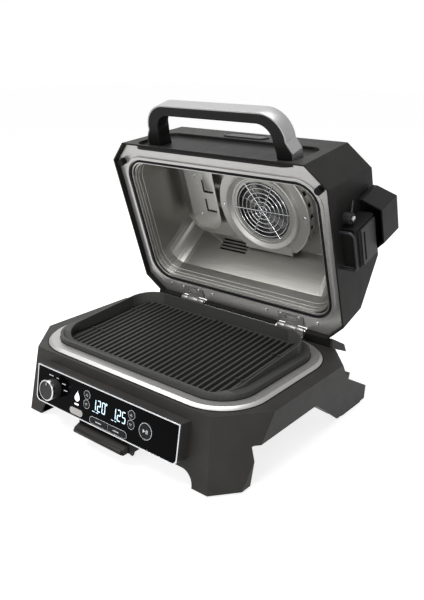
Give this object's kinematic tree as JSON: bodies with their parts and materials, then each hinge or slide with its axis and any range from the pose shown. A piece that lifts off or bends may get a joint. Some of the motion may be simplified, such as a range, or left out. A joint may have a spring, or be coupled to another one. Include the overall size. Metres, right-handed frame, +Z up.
{
  "type": "electric grill and smoker",
  "caption": "Countertop electric grill and smoker standing open: ribbed grill plate in a legged base with a control panel, and a hinged lid with a fan, handle and side smoke box.",
  "frame": {"origin": "on the floor, at the centre of the footprint between the front edge of the front legs and the rear end of the rear legs", "axes": "+X to the right when facing the control panel, +Y from the panel to the back, +Z up"},
  "size_m": [0.5105, 0.4724, 0.5103],
  "materials": {
    "base_plastic": "dark grey, finely grained",
    "lid_plastic": "dark grey, finely grained",
    "cover_sheet": "black painted sheet",
    "trim_plastic": "black, satin",
    "button_plastic": "black, glossy",
    "grey_button": "silver grey, satin",
    "rubber": "black, matt",
    "panel_gloss": "black, glossy",
    "circuit_board": "green",
    "display": "dark, lit figures behind it",
    "brushed_steel": "brushed",
    "satin_steel": "satin",
    "bright_metal": "bright plated",
    "dark_metal": "darkened steel",
    "fan_alloy": "plain",
    "plate_coating": "black non-stick coating",
    "tray_metal": "grey coated"
  },
  "bodies": {
    "base": {"base_housing": "base_plastic", "bottom_cover": "cover_sheet", "front_feet": "rubber", "rear_feet": "rubber", "rear_spacers": "base_plastic", "cord_inlet": "trim_plastic", "control_pod": "base_plastic", "panel_bezel": "bright_metal", "panel_glass": "panel_gloss", "control_board": "circuit_board", "display_module": "display", "knob_encoder": "dark_metal", "cooking_pot": "brushed_steel", "lower_element": "dark_metal", "drain_spout": "bright_metal", "tray_runners": "cover_sheet", "hinge_brackets": "bright_metal", "hinge_pins": "bright_metal"},
    "lid": {"lid_shell": "lid_plastic", "lid_rim_plate": "satin_steel", "lid_liner": "satin_steel", "lid_gasket": "rubber", "lid_bumpers": "rubber", "handle_core": "trim_plastic", "handle_strap": "brushed_steel", "fan_cover": "satin_steel", "fan_guard": "bright_metal", "fan_motor": "dark_metal", "upper_element": "dark_metal", "air_deflector": "satin_steel", "hinge_leaves": "bright_metal", "smoker_housing": "trim_plastic", "cap_pin": "bright_metal", "smoker_bail": "dark_metal", "latch_pivot": "bright_metal"},
    "knob": {"knob_body": "trim_plastic", "knob_ring": "bright_metal"},
    "start_key": {"start_button": "button_plastic"},
    "temp_up_key": {"temp_up_button": "button_plastic"},
    "temp_down_key": {"temp_down_button": "button_plastic"},
    "time_up_key": {"time_up_button": "button_plastic"},
    "time_down_key": {"time_down_button": "button_plastic"},
    "smoke_key": {"smoke_button": "grey_button"},
    "preset_key": {"preset_button": "button_plastic"},
    "manual_key": {"manual_button": "button_plastic"},
    "plate": {"grill_plate": "plate_coating"},
    "tray": {"drip_tray": "tray_metal"},
    "fan": {"fan_rotor": "fan_alloy"},
    "cap": {"smoker_cap": "trim_plastic"},
    "drawer": {"pellet_drawer": "dark_metal"},
    "damper": {"smoker_latch": "dark_metal"}
  },
  "joints": [
    {"name": "lid_hinge", "type": "hinge", "parent": "base", "child": "lid", "pos_m": [0, 0.13575, 0.1283], "axis": [-1, 0, 0], "range_deg": [-72.6, 0]},
    {"name": "knob_turn", "type": "hinge", "parent": "base", "child": "knob", "pos_m": [-0.111, -0.21037, 0.07481], "axis": [0, -0.9848, 0.1736], "range_deg": [-75, 75]},
    {"name": "start_key_press", "type": "slide", "parent": "base", "child": "start_key", "axis": [0, 0.9848, -0.1736], "range_m": [0, 0.0008], "stiffness_N_per_m": 300},
    {"name": "temp_up_key_press", "type": "slide", "parent": "base", "child": "temp_up_key", "axis": [0, 0.9848, -0.1736], "range_m": [0, 0.0008], "stiffness_N_per_m": 300},
    {"name": "temp_down_key_press", "type": "slide", "parent": "base", "child": "temp_down_key", "axis": [0, 0.9848, -0.1736], "range_m": [0, 0.0008], "stiffness_N_per_m": 300},
    {"name": "time_up_key_press", "type": "slide", "parent": "base", "child": "time_up_key", "axis": [0, 0.9848, -0.1736], "range_m": [0, 0.0008], "stiffness_N_per_m": 300},
    {"name": "time_down_key_press", "type": "slide", "parent": "base", "child": "time_down_key", "axis": [0, 0.9848, -0.1736], "range_m": [0, 0.0008], "stiffness_N_per_m": 300},
    {"name": "smoke_key_press", "type": "slide", "parent": "base", "child": "smoke_key", "axis": [0, 0.9848, -0.1736], "range_m": [0, 0.0008], "stiffness_N_per_m": 300},
    {"name": "preset_key_press", "type": "slide", "parent": "base", "child": "preset_key", "axis": [0, 0.9848, -0.1736], "range_m": [0, 0.0008], "stiffness_N_per_m": 300},
    {"name": "manual_key_press", "type": "slide", "parent": "base", "child": "manual_key", "axis": [0, 0.9848, -0.1736], "range_m": [0, 0.0008], "stiffness_N_per_m": 300},
    {"name": "plate_lift", "type": "slide", "parent": "base", "child": "plate", "axis": [0, 0, 1], "range_m": [0, 0.04]},
    {"name": "tray_pull", "type": "slide", "parent": "base", "child": "tray", "axis": [0, -1, 0], "range_m": [0, 0.2]},
    {"name": "fan_spin", "type": "hinge", "parent": "lid", "child": "fan", "pos_m": [0.02, 0.18101, 0.32063], "axis": [0, 0.9542, 0.299], "continuous": true},
    {"name": "cap_hinge", "type": "hinge", "parent": "lid", "child": "cap", "pos_m": [0.2255, 0.20912, 0.34464], "axis": [0, -0.299, 0.9542], "range_deg": [0, 80]},
    {"name": "drawer_slide", "type": "slide", "parent": "lid", "child": "drawer", "axis": [1, 0, 0], "range_m": [0, 0.045]},
    {"name": "damper_turn", "type": "hinge", "parent": "lid", "child": "damper", "pos_m": [0.23087, 0.09932, 0.35058], "axis": [1, 0, 0], "range_deg": [0, 60]}
  ]
}
